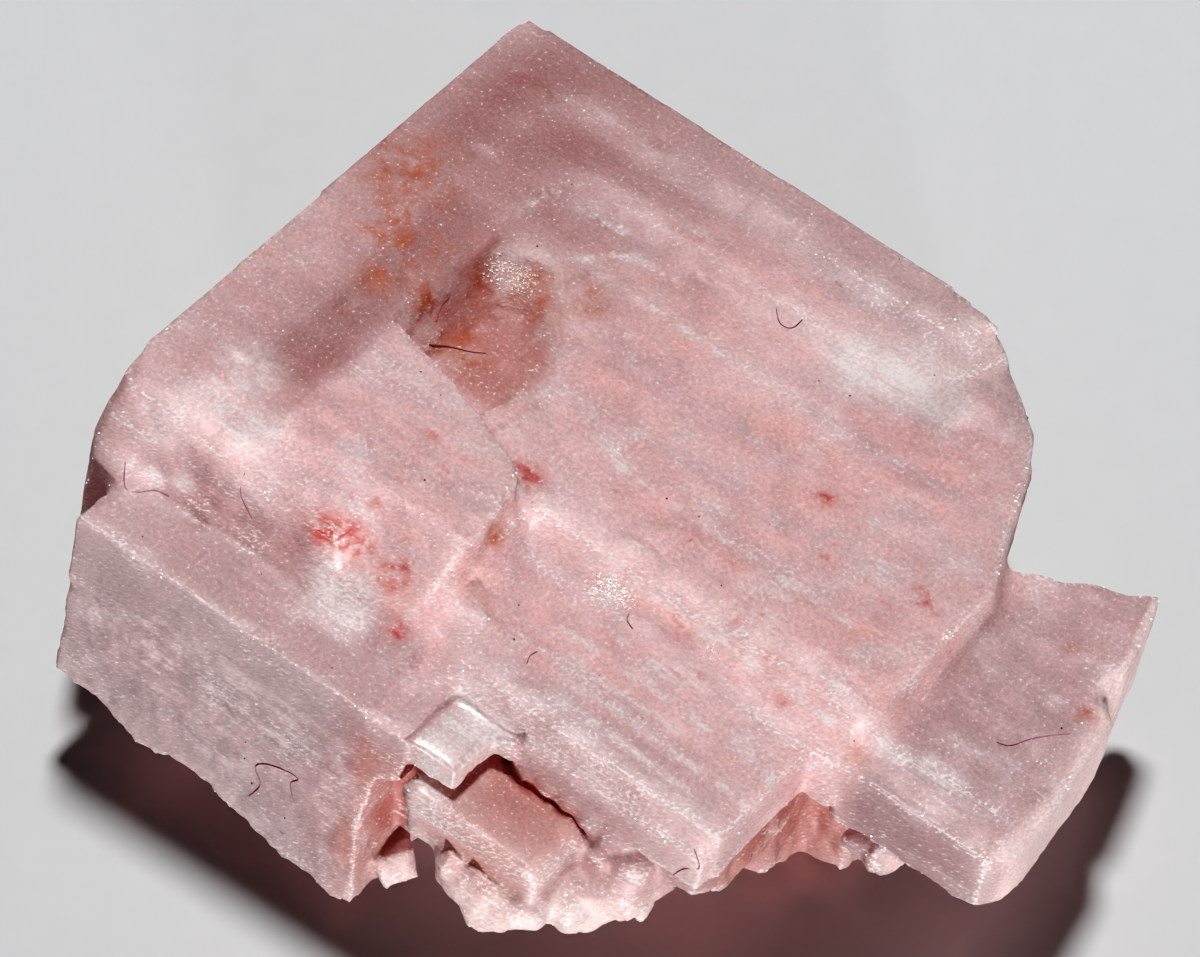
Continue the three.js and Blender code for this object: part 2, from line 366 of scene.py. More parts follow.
# How far each point moves out along its normal, in mm
def reliefOf(tree, entry, point, axes, normal):
    look = crystalLook
    zones = look["zones"]
    facing = partsOf(tree, normal)
    top = ramp(tree, facing[2], 0.55, 0.85)
    under = ramp(tree, facing[2], -0.2, -0.7)

    # square growth plates of random height, larger ones with smaller ones on them
    size = calc(tree, "DIVIDE", 1.0, entry.outputs["Step Size"])
    warp = noiseNode(tree, point, *look["warpNoise"]).outputs[1]
    bend = {0: warp, 1: [look["warpMm"]] * 3, 2: point}
    bent = putNode(tree, "ShaderNodeVectorMath", bend, operation="MULTIPLY_ADD").outputs[0]
    plates = cellsOf(tree, bent, size)
    smallPlates = cellsOf(tree, bent, calc(tree, "MULTIPLY", size, look["smallPlates"]))
    plateHeight = partsOf(tree, plates.outputs["Color"])[0]
    smallHeight = partsOf(tree, smallPlates.outputs["Color"])[0]
    platesSum = calc(tree, "MULTIPLY_ADD", smallHeight, 0.45, plateHeight)
    steps = product(tree, calc(tree, "SUBTRACT", platesSum, 0.7), entry.outputs["Step Height"])
    for cells in (plates, smallPlates):
        steps = calc(tree, "ADD", steps, plateTilt(tree, bent, cells, entry.outputs["Plate Tilt"]))

    # striations along the cube's X edge, strongest on the front shelf
    levels = look["striationLevels"]
    lines = streaksOf(tree, point, *look["striationNoise"])
    stripes = calc(tree, "DIVIDE", calc(tree, "FLOOR", calc(tree, "MULTIPLY", lines, levels)), levels)
    shelf = zoneMask(tree, axes, zones["shelf"])
    farTerrace = zoneMask(tree, axes, zones["farTerrace"])
    stripeZone = product(tree, largest(tree, shelf, farTerrace), top)
    stripes = product(
        tree, calc(tree, "SUBTRACT", stripes, 0.5), entry.outputs["Striation"], 4.0, stripeZone
    )

    # slow waves, fine grain, and square pits
    waves = product(tree, centredNoise(tree, point, look["waveNoise"]), 2.0, entry.outputs["Wave"])
    grainZone = ramp(tree, noiseOf(tree, point, *look["grainPatchNoise"]), 0.42, 0.62)
    grain = centredNoise(tree, point, look["grainNoise"])
    grain = product(tree, grain, grainZone, entry.outputs["Grain"], 3.0)
    pitCells = cellsOf(tree, point, look["pitsPerMm"])
    pitPick = calc(tree, "GREATER_THAN", partsOf(tree, pitCells.outputs["Color"])[1], look["pitPick"])
    pitShape = ramp(tree, pitCells.outputs["Distance"], 0.34, 0.1)
    pits = product(tree, pitPick, pitShape, top, entry.outputs["Pit"])

    # ragged salt toward the broken underside
    lowSides = zoneMask(tree, axes, zones["lowSides"])
    ragZone = largest(tree, calc(tree, "MULTIPLY", lowSides, 0.55), under)
    rags = centredNoise(tree, point, look["ragNoise"])
    rags = product(tree, rags, ragZone, entry.outputs["Rag"], 2.0)

    # knobbly white lumps under the front cubes
    knobs = cellsOf(tree, bent, look["knobsPerMm"], distance="EUCLIDEAN").outputs["Distance"]
    lumpy = zoneMask(tree, axes, zones["lumpy"])
    knobs = product(tree, calc(tree, "SUBTRACT", 0.6, knobs), entry.outputs["Lump"], lumpy)

    # one front cube's top is lower, the other's higher, and a few dents
    drop = product(tree, zoneMask(tree, axes, zones["clearCube"]), top, entry.outputs["Cube Drop"])
    rise = product(tree, zoneMask(tree, axes, zones["salmonCube"]), top, entry.outputs["Cube Rise"])
    dents = calc(tree, "SUBTRACT", drop, rise)
    for x, y, z, reach, depth in look["dents"]:
        away = measured(tree, "DISTANCE", point, (x, y, z))
        dents = calc(tree, "ADD", dents, ramp(tree, away, reach * 1.2, 0.0, 0.0, depth))

    raised = total(tree, steps, stripes, waves, grain, rags, knobs)
    return calc(tree, "SUBTRACT", raised, calc(tree, "ADD", pits, dents))


# Terrace edges jog sideways and melt into slopes, away from the outer edges of the cube
def meltOf(tree, entry, place, point, axes):
    zones = crystalLook["zones"]
    inside = zoneMask(tree, axes, zones["inside"])
    drift = noiseNode(tree, point, *crystalLook["jogNoise"]).outputs[1]
    centred = vectorCalc(tree, "ADD", drift, (-0.5, -0.5, -0.5))
    level = vectorCalc(tree, "MULTIPLY", centred, (1.0, 1.0, 0.0))
    jog = scaled(tree, level, product(tree, inside, entry.outputs["Jog"], 0.001))
    raisedPlate = zoneMask(tree, axes, zones["raisedPlate"])
    terrace = calc(tree, "MULTIPLY", inside, calc(tree, "MULTIPLY_ADD", raisedPlate, -0.95, 1.0))
    melted = softened(tree, place, entry.outputs["Terrace Softness"], terrace)
    softZones = [
        ("Riser", "riser"), ("Slope", "frontSlope"), ("Lump", "lumpy"), ("Wall", "rightWall"),
        ("Block", "rightBlock"),
    ]
    for title, zone in softZones:
        weight = zoneMask(tree, axes, zones[zone])
        melted = softened(tree, melted, entry.outputs[title + " Softness"], weight)
    return jog, vectorCalc(tree, "SUBTRACT", melted, place)


def growthTree():
    tree, entry, leave = newGeometryTree("haliteGrowth", [(title, kind) for title, kind, _ in growthInputs])
    place = positionOf(tree)
    normal = normalOf(tree)
    point = scaled(tree, place, 1000.0)
    axes = partsOf(tree, point)
    relief = reliefOf(tree, entry, point, axes, normal)
    offset = scaled(tree, normal, calc(tree, "MULTIPLY", relief, 0.001))
    jog, melt = meltOf(tree, entry, place, point, axes)
    shift = vectorCalc(tree, "ADD", vectorCalc(tree, "ADD", offset, jog), melt)

    # how far each point stands out from its neighbourhood: above 0 on edges, below 0 in creases
    around = softened(tree, place, crystalLook["edgePasses"], 1.0)
    stand = measured(tree, "DOT_PRODUCT", vectorCalc(tree, "SUBTRACT", place, around), normal)
    edge = calc(tree, "MULTIPLY", stand, 10000.0)  # in tenths of a mm
    # the edge measure spread wide: where the painted glow near the edges goes
    paintedGlowSpread = putNode(tree, "GeometryNodeBlurAttribute", data_type="FLOAT")
    feed(tree, paintedGlowSpread.inputs["Value"], ramp(tree, edge, 0.15, 0.8))
    feed(tree, paintedGlowSpread.inputs["Iterations"], crystalLook["paintedGlowPasses"])
    kept = storedOn(tree, entry.outputs[0], "edge", edge)
    kept = storedOn(tree, kept, "paintedGlowSpread", calc(tree, "MULTIPLY", paintedGlowSpread.outputs[0], 4.0, clamp=True))
    shifted = putNode(tree, "GeometryNodeSetPosition", {"Geometry": kept, "Offset": shift})
    return endTree(tree, shifted.outputs[0], entry, leave)


def crystalMesh(material):
    look = crystalLook
    shape = bmesh.new()
    shape.from_mesh(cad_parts["halite_crystal"].data)
    bmesh.ops.remove_doubles(shape, verts=shape.verts, dist=look["mergeMm"] / 1000)
    shape.transform(latticeFromFrame)
    for x, y, z, radius in look["lumps"]:
        place = Matrix.Translation((x / 1000, y / 1000, z / 1000))
        bmesh.ops.create_icosphere(shape, subdivisions=2, radius=radius / 1000, matrix=place)
    mesh = bpy.data.meshes.new("crystalRough")
    shape.to_mesh(mesh)
    shape.free()
    obj = linked("haliteCrystal", mesh)
    remesh = obj.modifiers.new("voxels", "REMESH")
    remesh.mode = "VOXEL"
    remesh.voxel_size = look["voxelMm"] / 1000
    soften = obj.modifiers.new("soften", "SMOOTH")
    soften.factor = look["softenFactor"]
    soften.iterations = look["softenPasses"]
    values = {title: look[key] for title, _, key in growthInputs}
    values["Material"] = material
    applyTree(obj, growthTree(), values)
    bakeModifiers(obj, "haliteRelief")
    count = sum(len(p.vertices) - 2 for p in obj.data.polygons)
    thin = obj.modifiers.new("thin", "DECIMATE")
    thin.ratio = min(1.0, look["triangles"] / count)
    bakeModifiers(obj, "haliteThin")
    applyTree(obj, tintTree(), {"Material": material})
    bakeModifiers(obj, "haliteCrystal")
    obj.data.transform(frameFromLattice)
    for v in obj.data.vertices:
        if v.co.z < look["flatBaseMm"] / 1000:
            v.co.z = 0.0
    obj.data.polygons.foreach_set("use_smooth", [True] * len(obj.data.polygons))
    obj.data.update()
    print("stage: crystal", count, "triangles, thinned to", len(obj.data.polygons))
    return obj


# The pink salt: clouded, see-through, stained along its creases

saltLook = {
    "pale": (0.98, 0.655, 0.645, 1),
    "pink": (0.97, 0.545, 0.53, 1),
    "lilac": (0.80, 0.55, 0.585, 1),
    # mauve for painted shade, the dark seen deep in the clear salt
    "mauve": (0.40, 0.17, 0.17, 1),
    "salmon": (0.51, 0.185, 0.155, 1),
    "deepSalmon": (0.54, 0.17, 0.14, 1),
    "haze": (0.42, 0.285, 0.295, 1),
    # pale colour for painted light: the glow near the edges and on the right block's right side
    "paintedGlow": (0.98, 0.77, 0.75, 1),
    # pale grey for painted light on the left front block's front faces
    "paintedFrontLight": (0.60, 0.50, 0.51, 1),
    "rust": (0.57, 0.155, 0.075, 1),
    "red": (0.62, 0.05, 0.03, 1),
    "frostAndHighlightWhite": (0.97, 0.80, 0.81, 1),
    "chalk": (0.95, 0.84, 0.78, 1),
    "fleck": (1.0, 0.94, 0.93, 1),
    "transmission": 0.57,
    "ior": 1.544,
    "absorbColor": (0.86, 0.56, 0.56, 1),
    "absorbDensity": 130.0,
    # strengths, 0 to 1
    "lilacStreaks": 0.6,
    "greyed": 0.65,
    # how strongly light is painted on the left front block's front faces
    "paintedFrontLightStrength": 0.75,
    # how strongly shade is painted on the right block's front faces
    "paintedFrontShade": 0.8,
    "wornAndHighlitEdges": 0.5,
    "scratched": 0.8,
    "veilAndGlintStrength": 0.85,
    "blush": 0.6,
    "redStain": 0.97,
    "paintedSparkle": 0.95,
    "hairlineGlints": 0.5,
    # noise patterns: waves a mm, detail and roughness
    "cloudNoise": (0.17, 3.0, 0.55),
    "mottleNoise": (1.3, 4.0, 0.62),
    "patchNoise": (0.55, 4.0, 0.65),
    "blotchNoise": (0.95, 5.0, 0.72),
    "raggedNoise": (4.2, 2.0, 0.5),
    "dotNoise": (2.3, 2.0, 0.5),
    "streakNoise": ((0.13, 1.25, 1.25), 4.0, 0.6),
    "scratchNoise": ((0.5, 4.2, 4.2), 3.0, 0.6),
    "bumpStrength": 0.3,
    "bumpM": 0.00005,
    # surface patterns: waves a metre along and across, and detail
    "finePattern": (7000.0, 7000.0, 2.0),
    "striaePattern": (160.0, 1700.0, 3.0),
    "hairPattern": (240.0, 8000.0, 2.0),
    # stains, white veils that also carry painted glints, and scratches: lattice place and reach in mm
    "glassSpots": [
        (17.2, -22.2, -2.8, 0.8), (18.4, -22.2, -2.7, 0.8), (19.8, -22.3, -2.6, 0.8),
        (21.2, -22.3, -2.6, 0.8), (15.6, -24.7, -3.6, 1.2), (15.4, -22.2, -3.0, 0.9),
        (10.0, -22.0, -2.4, 1.1), (2.6, -22.0, -2.8, 0.7), (4.4, -21.9, -2.8, 0.8),
        (6.4, -21.9, -2.8, 0.8), (8.0, -24.9, -6.6, 1.6), (10.6, -24.9, -6.6, 1.4),
        (31.2, -16.0, -2.6, 0.6),
    ],
    "rustSpots": [
        (1.6, -8.4, 0, 1.5), (3.0, -10.6, 0, 1.6), (3.7, -12.3, -0.35, 0.9), (5.2, -12.0, -0.8, 0.8),
        (5.5, -12.1, -1.3, 0.8), (6.0, -12.1, -1.8, 0.8), (6.5, -11.4, -2.05, 0.6),
        (7.2, -8.6, -1.4, 1.1), (8.8, -8.0, -1.05, 0.6), (7.2, -11.9, -2.1, 0.6),
        (5.6, -9.6, -1.35, 0.7), (6.7, -8.9, -1.5, 0.5), (12.5, -18.0, -1.0, 0.5),
        (25.6, -16.5, -2.2, 0.35), (30.0, -10.2, -2.1, 0.35), (28.4, -8.0, -2.0, 0.5),
        (19.1, -22.4, -5.0, 0.6),
    ],
    "redSpots": [
        (8.7, -21.5, -0.9, 0.6), (9.3, -21.3, -1.0, 0.6), (9.8, -21.2, -1.2, 0.4),
        (11.8, -15.3, -1.05, 0.5), (11.1, -21.1, -1.4, 0.45), (12.1, -22.1, -2.4, 0.3),
        (18.9, -16.25, -2.2, 0.35), (22.8, -16.2, -2.1, 0.4), (19.2, -9.4, -1.05, 0.3),
        (24.0, -10.9, -0.8, 0.25), (25.6, -15.4, -1.95, 0.2), (8.8, -13.6, -0.12, 0.4),
    ],
    "blushSpots": [
        (9.0, -16.0, -0.1, 4.0), (9.5, -20.5, -0.8, 2.5), (19.0, -16.0, -2.0, 3.5),
        (22.0, -10.0, -1.0, 4.0),
    ],
    "veilAndGlintSpots": [
        (9.4, -22.1, -2.2, 1.0), (9.9, -22.2, -2.4, 1.3), (10.5, -22.4, -2.8, 1.1),
        (10.4, -21.9, -2.3, 0.9), (18.3, -4.0, -0.6, 1.6), (15.1, -22.1, -3.0, 0.8),
        (6.0, -8.6, -1.35, 0.8), (3.3, -20.2, -0.2, 1.2), (4.8, -20.3, -0.3, 1.2),
        (3.2, -18.6, -0.3, 1.3), (16.9, -4.5, -0.7, 1.5), (19.6, -3.6, -0.66, 1.3),
        (16.3, -16.6, -1.9, 0.5), (25.9, -15.7, -1.95, 0.5), (26.6, -15.5, -2.05, 0.5),
        (27.4, -15.3, -2.15, 0.5), (28.3, -15.1, -2.1, 0.5), (15.6, -23.2, -3.2, 1.0),
        (15.4, -24.3, -3.3, 0.9), (15.9, -24.8, -3.9, 0.9), (16.4, -22.6, -3.2, 0.7),
        (12.6, -12.4, -1.05, 0.4), (13.1, -12.5, -1.05, 0.45), (13.8, -12.9, -1.05, 0.4),
        (2.7, -22.4, -2.6, 0.5), (3.6, -22.0, -2.3, 0.45),
    ],
    "scratchSpots": [
        (5.6, -24.9, -6.6, 2.6), (8.4, -24.9, -6.4, 2.6), (10.8, -24.9, -6.2, 2.0), (8.0, -24.9, -8.8, 1.8),
    ],
    # pale growth lines that also carry painted glints, on the sunken top and the shelf, from one lattice X,
    # Y to another in mm
    "growthAndGlintLines": [
        ((5.1, -7.0), (5.2, -5.6)), ((5.3, -5.3), (8.0, -5.0)), ((7.3, -7.1), (8.5, -5.8)),
        ((8.5, -5.8), (10.6, -5.4)), ((10.0, -6.8), (14.0, -7.0)), ((16.0, -16.1), (24.5, -16.3)),
        ((14.5, -13.0), (22.8, -13.3)), ((15.0, -17.7), (20.5, -17.8)), ((16.0, -18.6), (24.0, -18.7)),
        ((16.5, -19.4), (22.0, -19.4)), ((17.5, -20.1), (24.0, -20.2)), ((17.0, -20.9), (22.5, -21.0)),
    ],
    "growthAndGlintLineMm": 0.16,
    "farCorner": (2.0, -2.0, 0),
    # zones, in lattice mm
    "zones": {
        "groove": [
            ("x", 1.4, 3.6), ("x", 5.8, 4.4), ("y", -3.0, -9.0, 0.95), ("y", -20.5, -17.0),
            ("z", -1.2, -0.6),
        ],
        "lowFront": [("z", -4.3, -5.4), ("x", 13.6, 15.6), ("x", 27.0, 25.6, 0.85)],
        "frontBlock": [("y", -21.4, -22.4), ("x", 14.0, 13.0)],
        "shelfFront": [("y", -19.5, -21.5), ("x", 13.0, 14.0, 0.95)],
        "farRim": [("y", -3.2, -2.0)],
        "leftRim": [("x", 2.9, 2.2, 0.6)],
        "rightBlock": [("x", 25.0, 26.5)],
        "rightSide": [("x", 25.5, 27.0)],
        "rightFront": [("x", 25.5, 26.5)],
        "leftFront": [("y", -23.6, -24.2), ("x", 13.0, 11.0)],
        "smallCube": [("z", -3.7, -4.2), ("x", 12.6, 13.4), ("x", 20.4, 19.6), ("y", -21.6, -22.4, 0.8)],
        "chalky": [("z", -5.6, -6.4), ("x", 16.0, 17.0), ("x", 24.0, 23.0), ("y", -21.5, -22.3, 0.85)],
        "pit": [
            ("x", 4.8, 5.6), ("x", 10.2, 9.0), ("y", -7.0, -8.0), ("y", -13.6, -12.8),
            ("z", -1.0, -1.5, 0.75),
        ],
        "tops": [("z", -3.2, -2.8)],
    },
}


# The ground colour: clouded pink; mauve in the groove and the far corner, which is painted shade for the
# dark seen deep in the clear salt; greyed and salmon at the front; painted shade on the far and left rims
# and on the right block's front faces, painted light on the left front block's front faces and the right
# block's right side, and a painted glow near the edges
def groundTint(tree, axes, point, cloud, mottle, streaks, depthShade, paintedGlowSpread):
    look = saltLook
    facing = partsOf(tree, normalOf(tree))
    towardFront = ramp(tree, facing[1], -0.3, -0.6)

    def zone(name):
        return zoneMask(tree, axes, look["zones"][name])

    blend = calc(tree, "MULTIPLY_ADD", mottle, 0.35, cloud)
    color = mixed(tree, ramp(tree, blend, 0.52, 0.84), look["pink"], look["pale"])
    color = mixed(tree, ramp(tree, streaks, 0.42, 0.62, 0.0, look["lilacStreaks"]), color, look["lilac"])
    blotch = noiseOf(tree, point, *look["blotchNoise"])
    shade = ramp(tree, blotch, 0.32, 0.68, 0.80, 1.12, smooth=False)
    color = mixed(tree, 1.0, color, shade, "MULTIPLY")
    # painted shade: mauve where the clear salt looks dark in depth
    color = mixed(tree, depthShade, color, look["mauve"])
    color = mixed(tree, zone("lowFront"), color, look["salmon"])
    # painted shade: the far and left rims, outside the depth shade, are greyed darker for the dark seen
    # through the clear rim
    paintedRimShade = product(tree, largest(tree, zone("farRim"), zone("leftRim")), without(tree, depthShade))
    greyed = largest(tree, zone("frontBlock"), zone("rightBlock"), zone("shelfFront"), paintedRimShade)
    color = mixed(tree, calc(tree, "MULTIPLY", greyed, look["greyed"]), color, look["haze"])
    # painted light: faces turned to the right on the right block are lightened toward a pale glow for light
    # they don't get
    rightSide = product(tree, ramp(tree, facing[0], 0.2, 0.5), zone("rightSide"))
    color = mixed(tree, rightSide, color, look["paintedGlow"])
    # painted light: the left front block's front faces are lightened toward a pale grey
    leftFront = product(tree, towardFront, zone("leftFront"), look["paintedFrontLightStrength"])
    color = mixed(tree, leftFront, color, look["paintedFrontLight"])
    # painted shade: the right block's front faces are darkened toward the grey haze colour
    rightFront = zone("rightFront")
    color = mixed(tree, product(tree, towardFront, rightFront, look["paintedFrontShade"]), color, look["haze"])
    rightTop = product(tree, rightFront, ramp(tree, facing[2], 0.6, 0.8))
    rightTop = product(tree, rightTop, ramp(tree, blotch, 0.46, 0.66, 0.0, 0.75))
    color = mixed(tree, rightTop, color, look["lilac"])
    color = mixed(tree, zone("smallCube"), color, look["deepSalmon"])
    color = mixed(tree, zone("chalky"), color, look["chalk"])
    color = mixed(tree, zone("pit"), color, look["deepSalmon"])
    dimmed = ramp(tree, axes[0], 25.5, 26.5, 1.0, 0.35)  # less painted glow on the right block
    # painted glow: a pale band near the edges stands in for light coming through the salt
    paintedGlowBand = product(tree, paintedGlowSpread, ramp(tree, cloud, 0.3, 0.6, 0.35, 0.8), dimmed)
    return mixed(tree, paintedGlowBand, color, look["paintedGlow"])


def tintTree():
    look = saltLook
    tree, entry, leave = newGeometryTree("saltTint", [])
    point = scaled(tree, positionOf(tree), 1000.0)
    axes = partsOf(tree, point)
    edge = attributeOf(tree, "edge")
    cloud = noiseOf(tree, point, *look["cloudNoise"])
    mottle = noiseOf(tree, point, *look["mottleNoise"])
    patchy = noiseOf(tree, point, *look["patchNoise"])
    streaks = streaksOf(tree, point, *look["streakNoise"])
    # painted shade toward the far corner and in the groove, where the clear salt looks dark in depth
    corner = ramp(tree, measured(tree, "DISTANCE", point, look["farCorner"]), 14.0, 2.0, 0.0, 0.95)
    depthShade = largest(tree, zoneMask(tree, axes, look["zones"]["groove"]), corner)
    color = groundTint(tree, axes, point, cloud, mottle, streaks, depthShade, attributeOf(tree, "paintedGlowSpread"))

    # pale worn edges that also carry a painted highlight, scratches, haze, and white veils and growth lines
    # that also carry painted glints
    wornAndHighlit = product(tree, ramp(tree, edge, 0.1, 0.9), ramp(tree, patchy, 0.42, 0.62, 0.15, 1.0))
    wornAndHighlit = calc(tree, "MULTIPLY", wornAndHighlit, look["wornAndHighlitEdges"])
    scratches = ramp(tree, streaksOf(tree, point, *look["scratchNoise"]), 0.44, 0.6, 0.2, 1.0)
    cut = product(tree, spotMask(tree, point, look["scratchSpots"]), ramp(tree, scratches, 0.5, 1.0))
    cut = calc(tree, "MULTIPLY", cut, look["scratched"])
    haze = product(tree, ramp(tree, patchy, 0.5, 0.68, 0.0, 0.5), without(tree, depthShade))
    color = mixed(tree, largest(tree, wornAndHighlit, cut, haze), color, look["frostAndHighlightWhite"])
    veilAndGlint = product(
        tree,
        spotMask(tree, point, look["veilAndGlintSpots"]),
        ramp(tree, mottle, 0.26, 0.48, 0.45, 1.0),
        ramp(tree, scratches, 0.2, 1.0, 0.5, 1.0),
    )
    flat = vectorCalc(tree, "MULTIPLY", point, (1.0, 1.0, 0.0))
    lines = product(
        tree,
        lineMask(tree, flat, look["growthAndGlintLines"], look["growthAndGlintLineMm"]),
        ramp(tree, mottle, 0.40, 0.60, 0.0, 0.8),
        zoneMask(tree, axes, look["zones"]["tops"]),
    )
    color = mixed(tree, product(tree, largest(tree, veilAndGlint, lines), look["veilAndGlintStrength"]), color, look["fleck"])

    # rust and red stains, and a blush of red dots
    ragged = ramp(tree, noiseOf(tree, point, *look["raggedNoise"]), 0.38, 0.56)
    rust = product(
        tree,
        spotMask(tree, point, look["rustSpots"], 1.7),
        ramp(tree, mottle, 0.40, 0.56),
        calc(tree, "MULTIPLY_ADD", ragged, 0.6, 0.36),
    )
    color = mixed(tree, rust, color, look["rust"])
    dots = ramp(tree, noiseOf(tree, point, *look["dotNoise"]), 0.63, 0.71)
    blush = product(tree, spotMask(tree, point, look["blushSpots"]), dots, look["blush"])
    red = product(tree, spotMask(tree, point, look["redSpots"], 1.8), ragged, look["redStain"])
    color = mixed(tree, largest(tree, red, blush), color, look["red"])

    # how rough the face is, and where painted glints go: on edges, glassy spots, shelf streaks, veils,
    # growth lines and pale patches, fewer in the depth shade
    glass = spotMask(tree, point, look["glassSpots"])
    frost = ramp(tree, mottle, 0.3, 0.7, 0.48, 0.66, smooth=False)
    frost = calc(tree, "MULTIPLY_ADD", glass, -0.3, frost)
    shelfMore = ramp(tree, axes[1], -11.0, -14.5, 0.4, 1.0)
    streakGlow = product(tree, ramp(tree, streaks, 0.54, 0.68, 0.0, 0.75), shelfMore)
    paintedGlint = largest(tree, ramp(tree, edge, 0.1, 0.5, 0.0, 0.9), product(tree, glass, 0.8))
    paintedGlint = product(tree, paintedGlint, ramp(tree, cloud, 0.35, 0.6, 0.4, 1.0))
    paintedGlint = largest(tree, paintedGlint, streakGlow, veilAndGlint, ramp(tree, patchy, 0.52, 0.7, 0.0, 0.6))
    paintedGlint = largest(tree, calc(tree, "MULTIPLY_ADD", depthShade, -1.3, paintedGlint), lines)

    kept = storedOn(tree, entry.outputs[0], "tint", color, "FLOAT_COLOR")
    kept = storedOn(tree, kept, "frost", frost)
    kept = storedOn(tree, kept, "paintedGlint", paintedGlint)
    return endTree(tree, kept, entry, leave)


def newFinish(name):
    material = bpy.data.materials.new(name)
    material.use_nodes = True
    tree = material.node_tree
    coords = tree.nodes.new("ShaderNodeTexCoord").outputs["Object"]
    return material, tree, tree.nodes["Principled BSDF"], coords


def surfaceNoise(tree, beside, across, along, over, detail):
    parts = {0: calc(tree, "MULTIPLY", beside, along), 1: calc(tree, "MULTIPLY", across, over), 2: 0.0}
    point = putNode(tree, "ShaderNodeCombineXYZ", parts).outputs[0]
    inputs = {"Vector": point, "Scale": 1.0, "Detail": detail, "Roughness": 0.65}
    return putNode(tree, "ShaderNodeTexNoise", inputs, noise_dimensions="2D").outputs[0]


def pinkSalt():
    look = saltLook
    material, tree, shader, coords = newFinish("pinkSalt")
    turned = putNode(tree, "ShaderNodeMapping", {"Vector": coords, "Rotation": turn})
    axes = partsOf(tree, turned.outputs[0])
    across = calc(tree, "ADD", axes[1], axes[2])  # runs down the front faces as it does over the tops
    beside = calc(tree, "SUBTRACT", axes[0], axes[2])
    tint = putNode(tree, "ShaderNodeAttribute", attribute_name="tint").outputs["Color"]
    frost = putNode(tree, "ShaderNodeAttribute", attribute_name="frost").outputs["Fac"]
    paintedGlint = putNode(tree, "ShaderNodeAttribute", attribute_name="paintedGlint").outputs["Fac"]
    fine = surfaceNoise(tree, beside, across, *look["finePattern"])
    striae = surfaceNoise(tree, beside, across, *look["striaePattern"])
    grainy = calc(tree, "MULTIPLY_ADD", striae, 0.22, calc(tree, "MULTIPLY", fine, 0.78))
    shade = ramp(tree, grainy, 0.32, 0.68, 0.76, 1.14, smooth=False)
    color = mixed(tree, 1.0, tint, shade, "MULTIPLY")
    # painted glints: white flecks where the glint mask and the fine noise are high
    paintedSparkle = ramp(tree, calc(tree, "MULTIPLY_ADD", paintedGlint, 0.2, fine), 0.68, 0.76)
    color = mixed(tree, calc(tree, "MULTIPLY", paintedSparkle, look["paintedSparkle"]), color, look["fleck"])
    # painted glints as hair-thin white lines where the glint mask is high
    hairlineGlints = ramp(tree, surfaceNoise(tree, beside, across, *look["hairPattern"]), 0.56, 0.68)
    hairlineGlints = product(tree, hairlineGlints, ramp(tree, paintedGlint, 0.0, 0.7, 0.0, look["hairlineGlints"]))
    color = mixed(tree, hairlineGlints, color, look["fleck"])
    bump = {"Height": fine, "Strength": look["bumpStrength"], "Distance": look["bumpM"]}
    tree.links.new(color, shader.inputs["Base Color"])
    tree.links.new(frost, shader.inputs["Roughness"])
    tree.links.new(putNode(tree, "ShaderNodeBump", bump).outputs[0], shader.inputs["Normal"])
    shader.inputs["Transmission Weight"].default_value = look["transmission"]
    shader.inputs["IOR"].default_value = look["ior"]
    absorb = tree.nodes.new("ShaderNodeVolumeAbsorption")
    absorb.inputs["Color"].default_value = look["absorbColor"]
    absorb.inputs["Density"].default_value = look["absorbDensity"]
    tree.links.new(absorb.outputs[0], tree.nodes["Material Output"].inputs["Volume"])
    return material


# Loose grains: white salt along the edges and in a few crusts, and dark specks of dust

saltGrainLook = {
    "edgePerMm2": 16.0,
    "openPerMm2": 0.35,
    "crustPerMm2": 220.0,
    "smallMm": 0.02,
    "largeMm": 0.05,
    "seed": 7,
    "roughness": 0.3,
    "color": (0.93, 0.86, 0.84, 1),
    "shade": (0.90, 0.76, 0.72, 1),
    "crustSpots": [
        (15.8, -16.7, -1.97, 0.4), (16.2, -16.6, -1.91, 0.5), (16.7, -16.6, -1.89, 0.35),
        (5.9, -8.7, -1.33, 0.55), (6.5, -8.5, -1.39, 0.5), (20.0, -16.4, -1.9, 0.2),
        (12.6, -12.4, -1.05, 0.2), (13.2, -12.5, -1.05, 0.2),
    ],
}
dustLook = {
    "edgePerMm2": 0.05,
    "openPerMm2": 0.16,
    "crustPerMm2": 0.0,
    "smallMm": 0.02,
    "largeMm": 0.06,
    "seed": 21,
    "roughness": 0.3,
    "color": (0.10, 0.03, 0.03, 1),
    "shade": (0.22, 0.06, 0.05, 1),
    "crustSpots": [],
}

grainInputs = [
    ("Edge Density", "NodeSocketFloat", "edgePerMm2"),
    ("Open Density", "NodeSocketFloat", "openPerMm2"),
    ("Crust Density", "NodeSocketFloat", "crustPerMm2"),
    ("Small", "NodeSocketFloat", "smallMm"),
    ("Large", "NodeSocketFloat", "largeMm"),
    ("Seed", "NodeSocketInt", "seed"),
]


